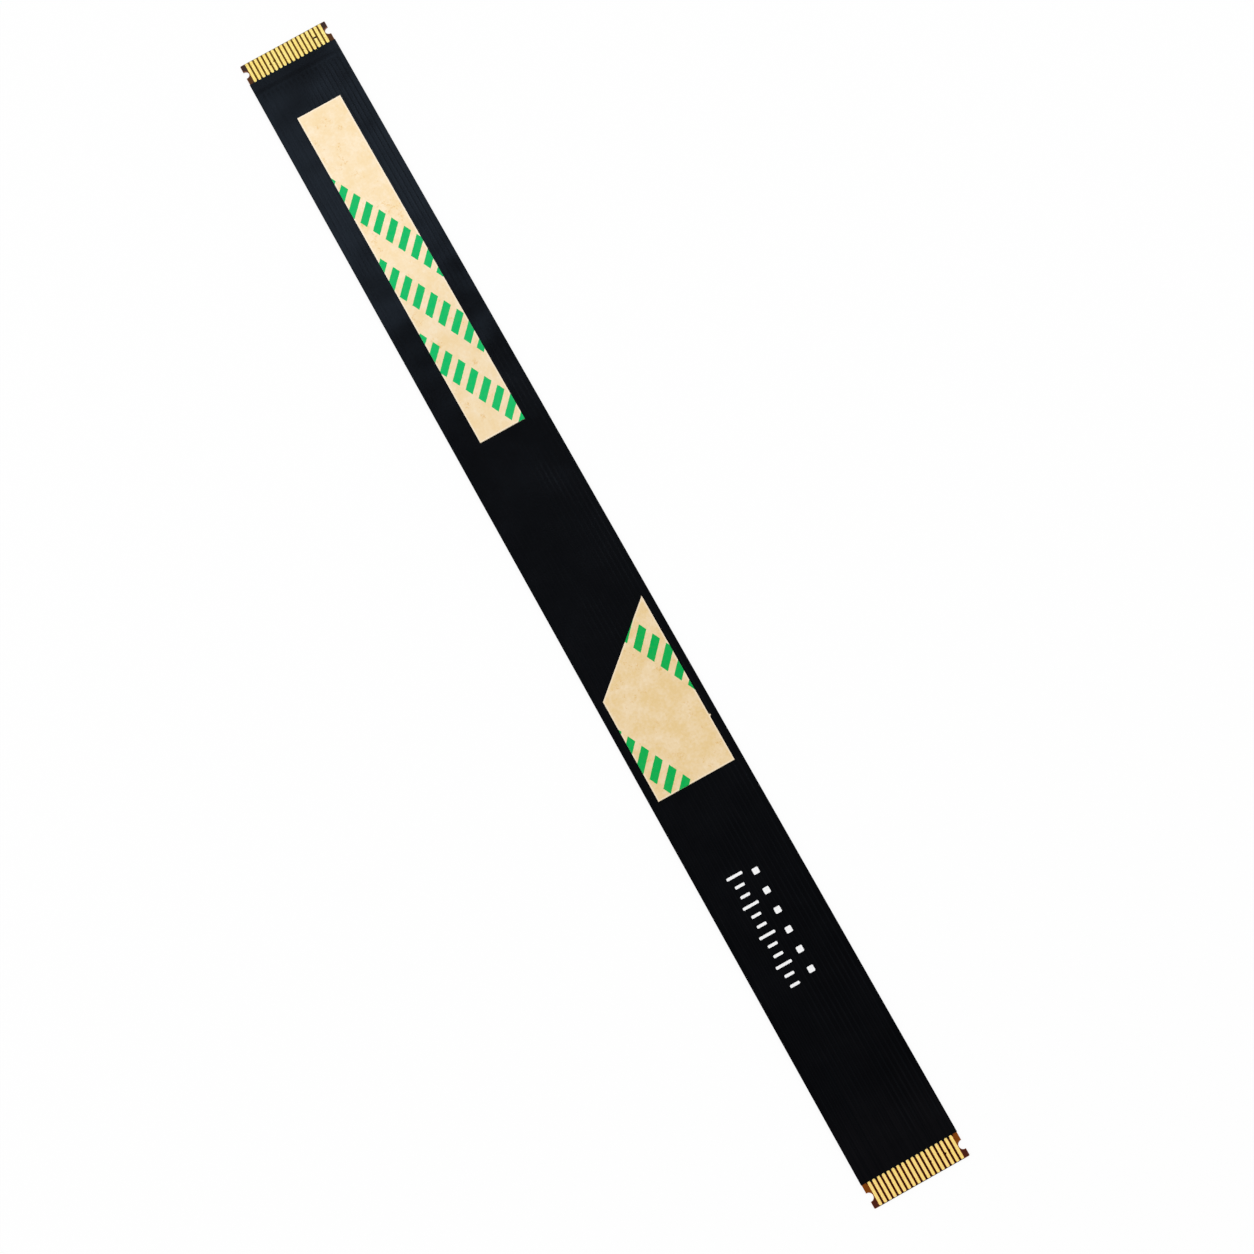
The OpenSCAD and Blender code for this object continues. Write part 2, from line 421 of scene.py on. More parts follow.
def film_solid(outlines, low, high, edge_round):
    """A film cut to the first of three outlines; the others lie at its softened edge and inside its rim.

    Its rim attribute is 1 on the cut edge and falls to 0 at the third outline.
    """
    cut, edge, inner = outlines
    rings = [
        (inner, low, 0.0),
        (edge, low, 1.0),
        (cut, low + edge_round, 1.0),
        (cut, high - edge_round, 1.0),
        (edge, high, 1.0),
        (inner, high, 0.0),
    ]
    solid = bmesh.new()
    rim_layer = solid.verts.layers.float.new("rim")
    loops = []
    for points, z, on_rim in rings:
        loop = [solid.verts.new((x, y, z)) for x, y in points]
        for vertex in loop:
            vertex[rim_layer] = on_rim
        loops.append(loop)
    join_loops(solid, loops)
    caps = [solid.faces.new(loops[0][::-1]), solid.faces.new(loops[-1])]
    solid.normal_update()
    bmesh.ops.triangulate(solid, faces=caps)
    return solid


def join_loops(solid, loops):
    """Joins each closed loop of vertices to the next with a band of faces."""
    for here, there in zip(loops, loops[1:]):
        for i in range(len(here)):
            j = (i + 1) % len(here)
            solid.faces.new((here[i], here[j], there[j], there[i]))


def cut_film(outline, low, high, sizes):
    """A film cut to an outline, with a softened edge and a rim."""
    outlines = [inset(outline, distance) for distance in (0.0, sizes.edge_round, sizes.rim)]
    return film_solid(outlines, low, high, sizes.edge_round)


def add_sheet(solid, rows):
    """Adds a closed sheet; each row along +X holds pairs of a lower and an upper point along +Y."""
    low, high = ([[solid.verts.new(pair[side]) for pair in row] for row in rows] for side in (0, 1))
    for grid in (low, high):
        for here, there in zip(grid, grid[1:]):
            for j in range(len(here) - 1):
                face = [here[j], there[j], there[j + 1], here[j + 1]]
                solid.faces.new(face if grid is high else face[::-1])
    for i in range(len(rows) - 1):
        solid.faces.new((low[i][0], low[i + 1][0], high[i + 1][0], high[i][0]))
        solid.faces.new((low[i + 1][-1], low[i][-1], high[i][-1], high[i + 1][-1]))
    for j in range(len(rows[0]) - 1):
        solid.faces.new((low[0][j + 1], low[0][j], high[0][j], high[0][j + 1]))
        solid.faces.new((low[-1][j], low[-1][j + 1], high[-1][j + 1], high[-1][j]))


def add_piece(name, solid, material, slot, *nodes):
    """Makes an object of a solid, which rides on the cable's body and stands for CAD nodes."""
    mesh = bpy.data.meshes.new(name)
    solid.to_mesh(mesh)
    solid.free()
    mesh.shade_smooth()
    mesh.set_sharp_from_angle(angle=SHARP_ANGLE)
    mesh.materials.append(material)
    piece = bpy.data.objects.new(name, mesh)
    bpy.context.scene.collection.objects.link(piece)
    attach(piece, BODY)
    if nodes:
        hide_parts(*nodes)


def dress_node(name, material):
    """Gives a CAD node that keeps its own shape a better material."""
    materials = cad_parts[name].data.materials
    materials.clear()
    materials.append(material)


# Node helpers

# Sockets of a Mix node that mixes colours
MIX_SHARE, MIX_FIRST, MIX_SECOND, MIX_RESULT = 0, 6, 7, 2


def set_inputs(tree, node, inputs):
    """Links a node's inputs to sockets, or sets them to plain values."""
    for name, value in inputs.items():
        if isinstance(value, bpy.types.NodeSocket):
            tree.links.new(value, node.inputs[name])
        else:
            node.inputs[name].default_value = value


def add_node(tree, kind, inputs, **settings):
    """Adds a node with its settings and inputs."""
    node = tree.nodes.new(kind)
    for name, value in settings.items():
        setattr(node, name, value)
    set_inputs(tree, node, inputs)
    return node


def calculate(tree, operation, *values):
    """The output of a Math node."""
    return add_node(tree, "ShaderNodeMath", dict(enumerate(values)), operation=operation).outputs[0]


def blend_colours(tree, share, first, second, amount=1.0, way="MIX"):
    """A colour between two, or one tinted by the other; a colour is a socket or three numbers.

    The amount weakens the share.
    """
    if amount < 1.0:
        share = calculate(tree, "MULTIPLY", share, amount)
    inputs = {MIX_SHARE: share}
    for socket, colour in ((MIX_FIRST, first), (MIX_SECOND, second)):
        inputs[socket] = colour if isinstance(colour, bpy.types.NodeSocket) else (*colour, 1.0)
    mixed = add_node(tree, "ShaderNodeMix", inputs, data_type="RGBA", blend_type=way)
    return mixed.outputs[MIX_RESULT]


def between(tree, share, low, high):
    """A number between low and high, by a share from 0 to 1."""
    inputs = {"Value": share, "To Min": low, "To Max": high}
    return add_node(tree, "ShaderNodeMapRange", inputs).outputs[0]


def step_mask(tree, value, low, high):
    """Goes from 0 to 1 as a value goes from low to high."""
    inputs = {"Value": value, "From Min": low, "From Max": high}
    return add_node(tree, "ShaderNodeMapRange", inputs, interpolation_type="SMOOTHSTEP").outputs[0]


def object_place(tree):
    """The place on the object."""
    return add_node(tree, "ShaderNodeTexCoord", {}).outputs["Object"]


def split(tree, vector):
    """The X, Y and Z sockets of a vector."""
    return add_node(tree, "ShaderNodeSeparateXYZ", {0: vector}).outputs


def noise_pattern(tree, place, scale, detail=2.0):
    """Soft noise from 0 to 1."""
    inputs = {"Vector": place, "Scale": scale, "Detail": detail}
    return add_node(tree, "ShaderNodeTexNoise", inputs).outputs[0]


def bump(tree, height, depth):
    """The normal of a surface that a height makes uneven."""
    inputs = {"Height": height, "Distance": depth, "Strength": 1.0}
    return add_node(tree, "ShaderNodeBump", inputs).outputs[0]


# Node groups


def grain_nodes(tree, given):
    """Fine even grain, as the height of a bump."""
    fineness = calculate(tree, "DIVIDE", 1.0, given["Size"])
    return noise_pattern(tree, object_place(tree), fineness, given["Detail"])


def streak_nodes(tree, given):
    """Fine lines that run along the strip, from 0 to 1."""
    drawn_range = (0.3, 0.7)
    place = split(tree, object_place(tree))
    length = calculate(tree, "MULTIPLY", given["Width"], given["Stretch"])
    along = calculate(tree, "DIVIDE", place["X"], length)
    across = calculate(tree, "DIVIDE", place["Y"], given["Width"])
    drawn = add_node(tree, "ShaderNodeCombineXYZ", {"X": along, "Y": across}).outputs[0]
    return step_mask(tree, noise_pattern(tree, drawn, 1.0, detail=4.0), *drawn_range)


def mottle_nodes(tree, given):
    """Soft blotches of two sizes, from 0 to 1."""
    fine_per_coarse, fine_share, steepness, middle = 5.3, 0.35, 2.5, 0.5
    place = object_place(tree)
    coarse = calculate(tree, "DIVIDE", 1.0, given["Size"])
    fine = calculate(tree, "MULTIPLY", coarse, fine_per_coarse)
    patches = [noise_pattern(tree, place, scale, detail=3.0) for scale in (coarse, fine)]
    both = between(tree, fine_share, *patches)
    spread = calculate(tree, "MULTIPLY", calculate(tree, "SUBTRACT", both, middle), given["Contrast"])
    mottle = calculate(tree, "ADD", calculate(tree, "MULTIPLY", spread, steepness), middle)
    return add_node(tree, "ShaderNodeClamp", {"Value": mottle}).outputs[0]


def rim_nodes(tree, given):
    """The cut edge of a film or a liner, from 0 inside to 1 on the edge."""
    tooth, rim_range = 0.15 * MM, (0.0, 0.7)
    rim = add_node(tree, "ShaderNodeAttribute", {}, attribute_name="rim").outputs["Fac"]
    teeth = noise_pattern(tree, object_place(tree), 1 / tooth)
    left = calculate(tree, "SUBTRACT", rim, calculate(tree, "MULTIPLY", teeth, given["Raggedness"]))
    return step_mask(tree, left, *rim_range)


def bar_nodes(tree, given):
    """One printed row of slanted bars, 1 on the ink."""
    bleed_length = 0.2 * MM
    place = object_place(tree)
    inputs = {"Vector": place, "Angle": given["Angle"]}
    turned = add_node(tree, "ShaderNodeVectorRotate", inputs, rotation_type="Z_AXIS").outputs[0]
    on_row = split(tree, turned)
    bleed = calculate(tree, "SUBTRACT", noise_pattern(tree, place, 1 / bleed_length), 0.5)
    bleed = calculate(tree, "MULTIPLY", bleed, given["Raggedness"])
    from_row = calculate(tree, "ABSOLUTE", calculate(tree, "SUBTRACT", on_row["Y"], given["Row"]))
    half = calculate(tree, "MULTIPLY", given["Height"], 0.5)
    in_row = calculate(tree, "LESS_THAN", calculate(tree, "ADD", from_row, bleed), half)
    lean = calculate(tree, "MULTIPLY", on_row["Y"], given["Slant"])
    leaning = calculate(tree, "ADD", calculate(tree, "ADD", on_row["X"], lean), bleed)
    repeat = calculate(tree, "FRACT", calculate(tree, "DIVIDE", leaning, given["Pitch"]))
    in_bar = calculate(tree, "LESS_THAN", repeat, given["Ink share"])
    return calculate(tree, "MULTIPLY", in_row, in_bar)


BAR_INPUTS = {
    "Angle": 0.35,
    "Row": 0.0,
    "Height": 2 * MM,
    "Pitch": 1.6 * MM,
    "Ink share": 0.55,
    "Slant": 0.4,
    "Raggedness": 0.06 * MM,
}
# Effects that several materials share: what builds each one, its inputs and its output
GROUPS = {
    "Surface grain": (grain_nodes, {"Size": 0.1 * MM, "Detail": 3.0}, "Height"),
    "Lengthwise streaks": (streak_nodes, {"Width": 0.1 * MM, "Stretch": 60.0}, "Streaks"),
    "Mottle": (mottle_nodes, {"Size": 1 * MM, "Contrast": 1.0}, "Mottle"),
    "Cut rim": (rim_nodes, {"Raggedness": 0.5}, "Rim"),
    "Slanted bars": (bar_nodes, BAR_INPUTS, "Ink"),
}


def node_group(name):
    """A shared shader node group, built when it is first asked for."""
    if name not in bpy.data.node_groups:
        build, inputs, output = GROUPS[name]
        tree = bpy.data.node_groups.new(name, "ShaderNodeTree")
        for socket_name, default in inputs.items():
            socket = tree.interface.new_socket(socket_name, in_out="INPUT", socket_type="NodeSocketFloat")
            socket.default_value = default
        tree.interface.new_socket(output, in_out="OUTPUT", socket_type="NodeSocketFloat")
        given = tree.nodes.new("NodeGroupInput").outputs
        result = tree.nodes.new("NodeGroupOutput").inputs
        tree.links.new(build(tree, given), result[output])
    return bpy.data.node_groups[name]


def effect(tree, name, **values):
    """The output of a shared node group, placed in a material with its own values."""
    inputs = {key.replace("_", " ").capitalize(): value for key, value in values.items()}
    return add_node(tree, "ShaderNodeGroup", inputs, node_tree=node_group(name)).outputs[0]


# Materials


def new_material(name, colour):
    """A material with a Principled shader, its node tree and that shader; colour shows in the viewport."""
    material = bpy.data.materials.new(name)
    material.use_nodes = True
    material.diffuse_color = (*colour, 1.0)
    tree = material.node_tree
    return material, tree, tree.nodes["Principled BSDF"]


def cover_material(colours):
    """Black cover film with a dull sheen and long rubbed streaks; its lighter lines over the conductors are
    rubbing and painted sheen, and its lighter near end is painted sheen.
    """
    line_sheen_and_wear, streak_wear, gloss_of_wear = 0.25, 0.5, 0.07
    rubbed_wear, near_sheen = (0.5, 1.0), (0.2, 0.8)
    line_outer, line_inner, row_fade = 0.15 * MM, 0.04 * MM, 0.1 * MM
    sheen_from, sheen_to = -54 * MM, -60.5 * MM
    ripple_height = 120.0
    material, tree, shader = new_material("black_cover_film", colours.cover)
    place = split(tree, object_place(tree))
    row_edge = CONTACT_ROW[-1] + CONTACT_PITCH / 2
    over_row = step_mask(tree, calculate(tree, "ABSOLUTE", place["Y"]), row_edge, row_edge - row_fade)
    from_line = calculate(tree, "SUBTRACT", place["Y"], CONTACT_ROW[0])
    from_line = calculate(tree, "PINGPONG", from_line, CONTACT_PITCH / 2)
    line = calculate(tree, "MULTIPLY", step_mask(tree, from_line, line_outer, line_inner), over_row)
    streaks = effect(tree, "Lengthwise streaks", width=0.2 * MM, stretch=110.0)
    rubbed = effect(tree, "Mottle", size=7 * MM, contrast=1.0)
    ripple = effect(tree, "Surface grain", size=6 * MM, detail=1.0)
    grain = effect(tree, "Surface grain", size=0.07 * MM)
    # Lighter lines over the conductors: rubbed film and painted sheen on the raised lines.
    on_lines = calculate(tree, "MULTIPLY", line, line_sheen_and_wear)
    lines = calculate(tree, "ADD", on_lines, calculate(tree, "MULTIPLY", streaks, streak_wear))
    worn_and_sheen = calculate(tree, "MULTIPLY", lines, between(tree, rubbed, *rubbed_wear))
    # Painted sheen: the film is drawn lighter, in streaks, towards the near end.
    near = step_mask(tree, place["X"], sheen_from, sheen_to)
    worn_and_sheen = calculate(tree, "MULTIPLY_ADD", near, between(tree, streaks, *near_sheen), worn_and_sheen)
    gloss = calculate(tree, "MULTIPLY", lines, gloss_of_wear)
    uneven = calculate(tree, "MULTIPLY_ADD", ripple, ripple_height, grain)
    set_inputs(tree, shader, {
        "Base Color": blend_colours(tree, worn_and_sheen, colours.cover, colours.cover_worn_and_sheen),
        "Roughness": calculate(tree, "SUBTRACT", between(tree, rubbed, 0.19, 0.24), gloss),
        "Specular IOR Level": 0.25,
        "Specular Tint": (*colours.cover_sheen, 1.0),
        "Normal": bump(tree, uneven, 1.2 * MICRON),
    })
    return material


def film_material(colours):
    """Bare amber film, darker towards the tips; the dark between the contacts is painted shade, and its paler
    cut edge is painted light.
    """
    ear_start, ear_end, row_blur = 1.35 * MM, 0.9 * MM, 0.02 * MM
    material, tree, shader = new_material("amber_film", colours.amber_near)
    place = split(tree, object_place(tree))
    from_middle = calculate(tree, "ABSOLUTE", place["X"])
    from_axis = calculate(tree, "ABSOLUTE", place["Y"])
    far = calculate(tree, "GREATER_THAN", place["X"], 0.0)
    ear = step_mask(tree, from_middle, STRIP_HIGH.x - ear_start, STRIP_HIGH.x - ear_end)
    row_edge = CONTACT_ROW[-1] + CONTACT_WIDTH / 2
    outside = step_mask(tree, from_axis, row_edge - row_blur, row_edge + row_blur)
    mottle = effect(tree, "Mottle", size=0.5 * MM, contrast=0.8)
    rim = effect(tree, "Cut rim", raggedness=0.4)
    grain = effect(tree, "Surface grain", size=0.05 * MM)
    by_cover = blend_colours(tree, far, colours.amber_near, colours.amber_far)
    by_tip = blend_colours(tree, far, colours.ear_near, colours.ear_far)
    bare = blend_colours(tree, ear, by_cover, by_tip)
    bare = blend_colours(tree, mottle, bare, colours.dark_film_and_gap_shade, amount=0.3)
    # Painted light along the film's cut edge.
    bare = blend_colours(tree, rim, bare, colours.film_rim_glow, amount=0.65)
    # Painted shade on the film between the contacts, inside the row of contacts.
    gap = blend_colours(tree, far, colours.dark_film_and_gap_shade, colours.far_gap_shade)
    set_inputs(tree, shader, {
        "Base Color": blend_colours(tree, outside, gap, bare),
        "Roughness": between(tree, mottle, 0.32, 0.46),
        "Specular IOR Level": 0.04,
        "Normal": bump(tree, grain, 1.5 * MICRON),
    })
    return material


def stiffener_material(colours):
    """Brown stiffener with a cut edge that is paler than its face, which is painted light along the edge."""
    material, tree, shader = new_material("brown_stiffener", colours.stiffener)
    mottle = effect(tree, "Mottle", size=0.7 * MM, contrast=1.0)
    streaks = effect(tree, "Lengthwise streaks", width=0.06 * MM, stretch=30.0)
    rim = effect(tree, "Cut rim", raggedness=0.6)
    grain = effect(tree, "Surface grain", size=0.06 * MM)
    face = blend_colours(tree, mottle, colours.stiffener, colours.stiffener_dark)
    # Painted light along the stiffener's cut edge.
    set_inputs(tree, shader, {
        "Base Color": blend_colours(tree, rim, face, colours.film_rim_glow, amount=0.5),
        "Roughness": between(tree, streaks, 0.3, 0.45),
        "Normal": bump(tree, grain, 2 * MICRON),
    })
    return material


def gold_material(colours):
    """Gold plating with fine lengthwise lines and painted shade along the edges of its face; its sides, nicks
    and cuts are dark.
    """
    face_depth = 5 * MICRON
    edge_shade_share = (1.0, 0.5)
    material, tree, shader = new_material("gold_plating", colours.gold)
    place = split(tree, object_place(tree))
    face = step_mask(tree, place["Z"], CONTACT_HIGH.z - BEVEL, CONTACT_HIGH.z - face_depth)
    patches = effect(tree, "Mottle", size=0.9 * MM, contrast=0.8)
    streaks = effect(tree, "Lengthwise streaks", width=0.035 * MM, stretch=14.0)
    rim = effect(tree, "Cut rim", raggedness=0.3)
    grain = effect(tree, "Surface grain", size=0.03 * MM)
    far = calculate(tree, "GREATER_THAN", place["X"], 0.0)
    plating = blend_colours(tree, far, colours.gold_near, colours.gold)
    plating = blend_colours(tree, patches, plating, colours.gold_deep)
    # Painted shade along the edges of the contacts' faces, stronger at the near end.
    thin = calculate(tree, "MULTIPLY", rim, between(tree, far, *edge_shade_share))
    plating = blend_colours(tree, thin, plating, colours.gold_edge_shade)
    set_inputs(tree, shader, {
        "Base Color": blend_colours(tree, face, colours.tarnish, plating),
        "Roughness": between(tree, streaks, 0.52, 0.66),
        "Metallic": 0.6,
        "Normal": bump(tree, grain, 1.0 * MICRON),
    })
    return material


def paper_material(name, colours, paper, stain, green, rows):
    """Cream liner paper with soft blotches, small spots, a paler cut edge that is partly painted highlight,
    painted shade away from the far end, and rows of green bars.
    """
    shade_from, shade_to = 42 * MM, 26 * MM
    rim_shade, spot_range, ink_cover = 0.87, (0.72, 0.95), (1.0, 0.985)
    material, tree, shader = new_material(name, paper)
    falloff_shade = step_mask(tree, split(tree, object_place(tree))["X"], shade_from, shade_to)
    mottle = effect(tree, "Mottle", size=1.5 * MM, contrast=1.6)
    fibres = effect(tree, "Mottle", size=0.36 * MM, contrast=1.8)
    spots = step_mask(tree, effect(tree, "Mottle", size=0.9 * MM), *spot_range)
    rim = effect(tree, "Cut rim", raggedness=0.3)
    grain = effect(tree, "Surface grain", size=0.09 * MM, detail=4.0)
    face = blend_colours(tree, mottle, paper, stain, amount=0.9)
    face = blend_colours(tree, fibres, face, stain, amount=0.4)
    face = blend_colours(tree, spots, face, colours.paper_spots, way="MULTIPLY")
    # The paler rim is partly pale fibre at the cut and partly painted highlight along the edge.
    pale = [1 - rim_shade * (1 - value) for value in paper]
    face = blend_colours(tree, rim, face, pale, amount=0.95)
    # Painted shade: darker and yellower from the far end towards the near end, where less light falls.
    face = blend_colours(tree, falloff_shade, face, colours.paper_falloff_shade, way="MULTIPLY")
    ink = 0.0
    for row in rows:
        printed = effect(tree, "Slanted bars", angle=BAR_ANGLE, row=row, height=BAR_HEIGHT)
        ink = calculate(tree, "MAXIMUM", ink, printed)
    ink = calculate(tree, "MULTIPLY", ink, between(tree, fibres, *ink_cover))
    set_inputs(tree, shader, {
        "Base Color": blend_colours(tree, ink, face, green),
        "Roughness": between(tree, fibres, 0.7, 0.85),
        "Specular IOR Level": 0.05,
        "Normal": bump(tree, grain, 5 * MICRON),
    })
    return material


def plain_material(name, colour, shade, mottle, grain, dullness, depth):
    """One colour with darker blotches, which are also duller, and a fine grain."""
    material, tree, shader = new_material(name, colour)
    size, contrast = mottle
    blotches = effect(tree, "Mottle", size=size, contrast=contrast)
    uneven = effect(tree, "Surface grain", size=grain)
    dark = [shade * value for value in colour]
    set_inputs(tree, shader, {
        "Base Color": blend_colours(tree, blotches, colour, dark),
        "Roughness": between(tree, blotches, *dullness),
        "Normal": bump(tree, uneven, depth),
    })
    return material


def adhesive_material(colours):
    """Pale tacky adhesive with small bubbles."""
    return plain_material(
        "pale_adhesive",
        colours.adhesive,
        shade=0.72,
        mottle=(0.15 * MM, 1.4),
        grain=0.12 * MM,
        dullness=(0.25, 0.45),
        depth=3 * MICRON,
    )


def ink_material(colours):
    """White screen-printed ink with a thin, slightly uneven cover."""
    return plain_material(
        "white_ink",
        colours.white,
        shade=0.86,
        mottle=(0.12 * MM, 1.1),
        grain=0.05 * MM,
        dullness=(0.5, 0.65),
        depth=2 * MICRON,
    )


def floor_material(stage):
    """White floor that keeps the shadow of what lies on it."""
    pale, white = (0.9, 0.9, 0.9, 1.0), (1.0, 1.0, 1.0, 1.0)
    material, tree, shader = new_material("white_floor", white[:3])
    tree.nodes.remove(shader)
    paths = add_node(tree, "ShaderNodeLightPath", {}).outputs
    seen = calculate(tree, "MAXIMUM", paths["Is Camera Ray"], paths["Is Glossy Ray"])
    seen = calculate(tree, "MAXIMUM", seen, paths["Is Transmission Ray"])
    share = calculate(tree, "MULTIPLY", seen, stage.floor_white)
    matt = add_node(tree, "ShaderNodeBsdfDiffuse", {"Color": pale}).outputs[0]
    lit = add_node(tree, "ShaderNodeEmission", {"Color": white, "Strength": 1.0}).outputs[0]
    mixed = add_node(tree, "ShaderNodeMixShader", {0: share, 1: matt, 2: lit}).outputs[0]
    set_inputs(tree, tree.nodes["Material Output"], {"Surface": mixed})
    return material


# Pieces


def cover_height(sizes, x, y):
    """Height of the top of the cover film, with a raised line over each conductor."""
    from_tip = STRIP_HIGH.x - abs(x)
    base = COVER_HIGH.z - sizes.ridge_height
    over_row = abs(y) < CONTACT_ROW[-1] + CONTACT_PITCH / 2
    turn = 2 * math.pi * (y - CONTACT_ROW[0]) / CONTACT_PITCH
    ridge = (0.5 + 0.5 * math.cos(turn)) if over_row else 0.0
    half = sizes.sink_length / 2
    sunk_end = sizes.sink_place + half
    raised = smooth(from_tip, sizes.sink_place - half, sunk_end)
    ridged = smooth(from_tip, sunk_end, sunk_end + sizes.sink_length)
    return base + ridged * ridge * sizes.ridge_height - (1 - raised) * sizes.sink


def cover_columns(sizes):
    """Columns of points across the cover film: sideways place, reach of its edge, height underneath."""
    body_x = COVER_HIGH.x - sizes.lip
    floor, roof = COVER_LOW.z, CONTACT_HIGH.z
    half = CONTACT_WIDTH / 2
    lip_y = CONTACT_ROW[-1] + half + sizes.lip_side
    side = COVER_HIGH.y
    margin = [side, side - sizes.edge_round, side - COVER_SIDE_STEP, (side + lip_y) / 2, lip_y + SEAM]
    columns = [(-y, body_x, floor) for y in margin] + [(-lip_y, COVER_HIGH.x, floor)]
    for y in CONTACT_ROW:
        columns.append((y - half - SEAM, COVER_HIGH.x, floor))
        columns.append((y - half, COVER_HIGH.x, roof))
        for depth, aside in arc((0, 0), 1.0, -90, 90, BAY_STEPS):
            dx = sizes.bay_radius * max(0.0, depth) ** sizes.bay_roundness
            dy = sizes.bay_radius * math.copysign(abs(aside) ** sizes.bay_roundness, aside)
            columns.append((y + dy, COVER_HIGH.x - dx, roof))
        columns.append((y + half, COVER_HIGH.x, roof))
        columns.append((y + half + SEAM, COVER_HIGH.x, floor))
    return columns + [(-y, x, z) for y, x, z in columns[len(margin)::-1]]


def cover_solid(sizes):
    """The top cover film: scalloped at both ends, grooved over the conductors."""
    body_x = COVER_HIGH.x - sizes.lip
    steps = [0, sizes.edge_round, *COVER_EDGE_STEPS, COVER_BLEND, *COVER_SINK_STEPS, *COVER_LONG_STEPS]
    columns = cover_columns(sizes)
    rows = []
    for end in (-1, 1):
        for step in steps if end < 0 else steps[::-1]:
            row = []
            for j, (y, reach, z) in enumerate(columns):
                x = end * (body_x - step + (reach - body_x) * max(0.0, 1 - step / COVER_BLEND))
                on_edge = step == 0 or j in (0, len(columns) - 1)
                row.append(((x, y, z), (x, y, cover_height(sizes, x, y) - on_edge * sizes.edge_round)))
            rows.append(row)
    solid = bmesh.new()
    add_sheet(solid, rows)
    return solid


def contact_half_width(sizes, from_end):
    """Half the width of a conductor at a distance from its own end."""
    half = CONTACT_WIDTH / 2
    if from_end < sizes.contact_corner:
        lost = sizes.contact_corner - from_end
        return half - sizes.contact_corner + math.sqrt(sizes.contact_corner**2 - lost**2)
    narrowed = (from_end + CONTACT_SETBACK - sizes.neck_start) / sizes.neck
    return half + (sizes.trace_width / 2 - half) * min(1.0, max(0.0, narrowed))


def worn_depth(number, end, side, from_end):
    """How far a nick and the fine unevenness of the plating cut into one side of a contact."""
    place = Vector((end * from_end / UNEVEN_LENGTH, number * NEXT_CONDUCTOR, side * NEXT_SIDE))
    depth = UNEVEN_DEPTH * unevenness(place)
    for nicked, at_end, at, at_side, deep in NICKS:
        if (nicked, at_end, at_side) == (number, end, side):
            depth += deep * math.exp(-(((from_end + CONTACT_SETBACK - at) / NICK_WIDTH) ** 2))
    return depth


def contact_stations(sizes):
    """Distances from the end of a conductor at which its section is drawn, down to the middle."""
    corner = rounding(sizes.contact_corner, CONTACT_CORNER_ANGLES)
    contact = [sizes.contact_corner + CONTACT_STEP * i for i in range(1, CONTACT_STEPS + 1)]
    neck = [sizes.neck_start - CONTACT_SETBACK, sizes.neck_start + sizes.neck - CONTACT_SETBACK]
    return corner + contact + neck + [CONTACT_LAST_STEP, CONTACT_HIGH.x]


def conductor_solid(sizes, number):
    """One conductor with a contact at each end, a slightly crowned face and worn sides."""
    low, high = CONTACT_LOW.z, CONTACT_HIGH.z
    middle = CONTACT_ROW[number - 1]
    # The rim attribute is 1 along the edges of the face, where the gold material paints shade.
    rims = (1.0, 1.0, *(abs(share) ** RIM_SHARPNESS for share in FACE_SHARES), 1.0, 1.0)
    cut_depth = CUT_DEPTH if number == CUT_CONDUCTOR else 0.0
    stations = contact_stations(sizes)
    places = [(1, s) for s in stations] + [(-1, s) for s in stations[-2::-1]]
    solid = bmesh.new()
    rim_layer = solid.verts.layers.float.new("rim")
    sections = []
    for end, from_end in places:
        half = contact_half_width(sizes, from_end)
        bare = 1 - smooth(from_end, *WEAR_FADES)
        right = half - bare * worn_depth(number, end, -1, from_end)
        left = half - bare * worn_depth(number, end, 1, from_end)
        x = end * (CONTACT_HIGH.x - from_end)
        points = [(x, middle - right, low), (x, middle - right, high - BEVEL)]
        for share in FACE_SHARES:
            y = share * ((left if share > 0 else right) - BEVEL)
            from_cut = (STRIP_HIGH.x - x - CUT_PLACE - CUT_SLANT * y) / CUT_WIDTH
            drop = cut_depth * math.exp(-(min(abs(from_cut), CUT_REACH) ** CUT_STEEPNESS))
            points.append((x, middle + y, high - CROWN * share**2 - drop))
        points += [(x, middle + left, high - BEVEL), (x, middle + left, low)]
        section = [solid.verts.new(point) for point in points]
        for vertex, on_rim in zip(section, rims):
            vertex[rim_layer] = on_rim
        sections.append(section)
    join_loops(solid, sections)
    solid.faces.new(sections[0][::-1])
    solid.faces.new(sections[-1])
    bmesh.ops.recalc_face_normals(solid, faces=solid.faces)
    return solid


def ragged(outline, steps, sizes):
    """An outline with each side in steps, moved in by the fuzz of a cut edge and out by a nib."""
    nib = Vector((sizes.nib_place, SHORT_LINER_LOW.y))
    points = []
    for start, end, count in zip(outline, outline[1:] + outline[:1], steps):
        start, end = Vector(start), Vector(end)
        normal = Vector((start.y - end.y, end.x - start.x)).normalized()
        for i in range(count):
            point = start.lerp(end, i / count)
            uneven = unevenness(Vector((*point, 0.0)) / FUZZ_LENGTH)
            on_nib = max(0.0, 1 - (point - nib).length / (sizes.nib_width / 2))
            inwards = (sizes.fuzz * uneven if i else 0.0) - sizes.nib * on_nib
            points.append(tuple(point + normal * inwards))
    return points


def liner_solid(outline, low, high, sizes):
    """A paper liner with a ragged cut edge."""
    sides = zip(outline, outline[1:] + outline[:1])
    steps = [round((Vector(end) - Vector(start)).length / PAPER_STEP) for start, end in sides]
    outlines = [
        ragged(inset(outline, distance), steps, sizes)
        for distance in (0.0, sizes.edge_round, sizes.paper_rim)
    ]
    return film_solid(outlines, low, high, sizes.edge_round)


